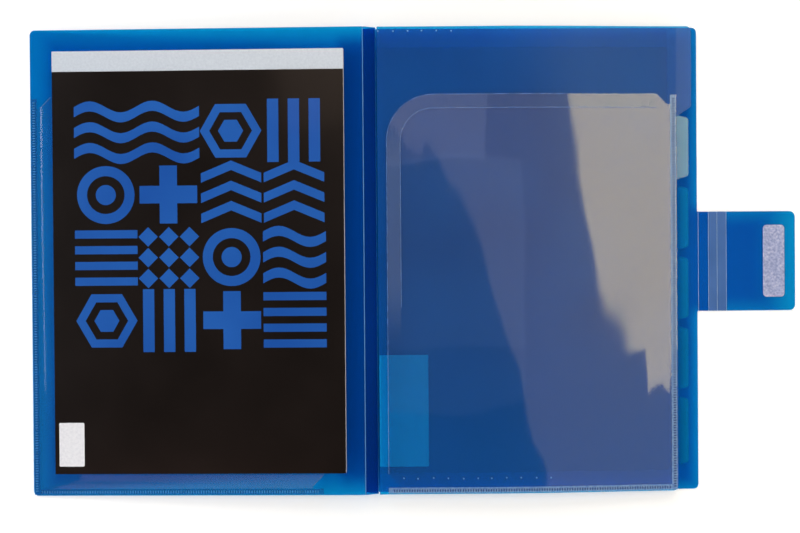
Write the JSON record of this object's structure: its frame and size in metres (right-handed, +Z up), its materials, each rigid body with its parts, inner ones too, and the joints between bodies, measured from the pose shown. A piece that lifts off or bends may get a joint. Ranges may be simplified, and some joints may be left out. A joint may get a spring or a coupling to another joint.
{
  "type": "accordion file folder",
  "caption": "Open translucent accordion file folder with tabbed dividers, pleated gussets, two clear film pockets, a hook-and-loop flap and a note pad tucked in its front cover.",
  "frame": {"origin": "centre of the open folder's footprint, on the table", "axes": "+X across the open folder, from the front cover to the flap, +Y along the spine towards the pad's head, +Z up"},
  "size_m": [0.5445, 0.33, 0.016],
  "materials": {
    "cover_sheet": "extruded translucent blue polypropylene, glossy",
    "wall_sheet": "thin translucent blue polypropylene, glossy",
    "gusset_sheet": "very thin translucent blue polypropylene",
    "clear_film": "clear cast film, glossy",
    "hook_tape": "woven tape covered in fine hooks",
    "loop_tape": "brushed loop pile",
    "label_paper": "smooth white label paper",
    "grey_card": "uncoated grey board",
    "pad_paper": "cut edges of a block of white paper",
    "head_tape": "white paper binding tape",
    "printed_cover": "black card with a glossy printed coat"
  },
  "bodies": {
    "back_cover": {"back_cover": "cover_sheet", "gusset_top_6": "gusset_sheet", "gusset_bottom_6": "gusset_sheet"},
    "spine_lower": {"spine_panel_lower": "cover_sheet"},
    "spine_upper": {"spine_panel_upper": "cover_sheet"},
    "front_cover": {"front_cover": "cover_sheet", "cover_pocket_film": "clear_film", "loop_patch": "loop_tape"},
    "pad": {"pad_back_card": "grey_card", "pad_paper_block": "pad_paper", "pad_head_tape": "head_tape"},
    "pad_cover": {"pad_cover_sheet": "printed_cover"},
    "flap_1": {"flap_panel_1": "cover_sheet"},
    "flap_2": {"flap_panel_2": "cover_sheet"},
    "flap_3": {"flap_panel_3": "cover_sheet"},
    "flap_tab": {"flap_tab": "cover_sheet", "hook_patch": "hook_tape"},
    "divider_6": {"divider_6": "wall_sheet", "gusset_top_5": "gusset_sheet", "gusset_bottom_5": "gusset_sheet"},
    "divider_5": {"divider_5": "wall_sheet", "gusset_top_4": "gusset_sheet", "gusset_bottom_4": "gusset_sheet"},
    "divider_4": {"divider_4": "wall_sheet", "gusset_top_3": "gusset_sheet", "gusset_bottom_3": "gusset_sheet"},
    "divider_3": {"divider_3": "wall_sheet", "gusset_top_2": "gusset_sheet", "gusset_bottom_2": "gusset_sheet"},
    "divider_2": {"divider_2": "wall_sheet", "index_label": "label_paper", "gusset_top_1": "gusset_sheet", "gusset_bottom_1": "gusset_sheet"},
    "front_wall": {"front_wall": "wall_sheet", "wall_pocket_film": "clear_film"}
  },
  "joints": [
    {"name": "spine_base_fold", "type": "hinge", "parent": "back_cover", "child": "spine_lower", "pos_m": [-0.03644, 0, 0.0006], "axis": [0, -1, 0], "range_deg": [0, 29.25]},
    {"name": "spine_middle_fold", "type": "hinge", "parent": "spine_lower", "child": "spine_upper", "pos_m": [-0.02773, 0, 0.00555], "axis": [0, 1, 0], "range_deg": [0, 58.52]},
    {"name": "cover_hinge", "type": "hinge", "parent": "spine_upper", "child": "front_cover", "pos_m": [-0.03644, 0, 0.0105], "axis": [0, 1, 0], "range_deg": [0, 153.16]},
    {"name": "pad_slide", "type": "slide", "parent": "front_cover", "child": "pad", "axis": [0, -1, 0], "range_m": [-0.27, 0]},
    {"name": "pad_cover_turn", "type": "hinge", "parent": "pad", "child": "pad_cover", "pos_m": [-0.15249, 0.13442, 0.01173], "axis": [0.9991, 0, 0.042], "range_deg": [-170, 0]},
    {"name": "flap_crease_1", "type": "hinge", "parent": "back_cover", "child": "flap_1", "pos_m": [0.20266, -0.002, 0.0006], "axis": [0, -1, 0], "range_deg": [0, 80]},
    {"name": "flap_crease_2", "type": "hinge", "parent": "flap_1", "child": "flap_2", "pos_m": [0.20996, -0.002, 0.0006], "axis": [0, -1, 0], "range_deg": [0, 10]},
    {"name": "flap_crease_3", "type": "hinge", "parent": "flap_2", "child": "flap_3", "pos_m": [0.21616, -0.002, 0.0006], "axis": [0, -1, 0], "range_deg": [0, 10]},
    {"name": "flap_crease_4", "type": "hinge", "parent": "flap_3", "child": "flap_tab", "pos_m": [0.22276, -0.002, 0.0006], "axis": [0, -1, 0], "range_deg": [0, 80]},
    {"name": "pocket_6_opening", "type": "hinge", "parent": "back_cover", "child": "divider_6", "pos_m": [-0.02647, 0, 0.00173], "axis": [0, 1, 0], "range_deg": [-6, 0], "deforming": ["gusset_top_6", "gusset_bottom_6"]},
    {"name": "pocket_5_opening", "type": "hinge", "parent": "divider_6", "child": "divider_5", "pos_m": [-0.02647, 0, 0.00317], "axis": [0, 1, 0], "range_deg": [-6, 0], "deforming": ["gusset_top_5", "gusset_bottom_5"]},
    {"name": "pocket_4_opening", "type": "hinge", "parent": "divider_5", "child": "divider_4", "pos_m": [-0.02647, 0, 0.0046], "axis": [0, 1, 0], "range_deg": [-6, 0], "deforming": ["gusset_top_4", "gusset_bottom_4"]},
    {"name": "pocket_3_opening", "type": "hinge", "parent": "divider_4", "child": "divider_3", "pos_m": [-0.02647, 0, 0.00604], "axis": [0, 1, 0], "range_deg": [-6, 0], "deforming": ["gusset_top_3", "gusset_bottom_3"]},
    {"name": "pocket_2_opening", "type": "hinge", "parent": "divider_3", "child": "divider_2", "pos_m": [-0.02647, 0, 0.00747], "axis": [0, 1, 0], "range_deg": [-6, 0], "deforming": ["gusset_top_2", "gusset_bottom_2"]},
    {"name": "pocket_1_opening", "type": "hinge", "parent": "divider_2", "child": "front_wall", "pos_m": [-0.02647, 0, 0.0089], "axis": [0, 1, 0], "range_deg": [-6, 0], "deforming": ["gusset_top_1", "gusset_bottom_1"]}
  ],
  "couplings": [
    {"joint": "spine_middle_fold", "follows": "spine_base_fold", "ratio": 2},
    {"joint": "cover_hinge", "follows": "spine_base_fold", "ratio": 5.235},
    {"joint": "flap_crease_2", "follows": "flap_crease_1", "ratio": 0.125},
    {"joint": "flap_crease_3", "follows": "flap_crease_1", "ratio": 0.125},
    {"joint": "flap_crease_4", "follows": "flap_crease_1", "ratio": 1}
  ]
}
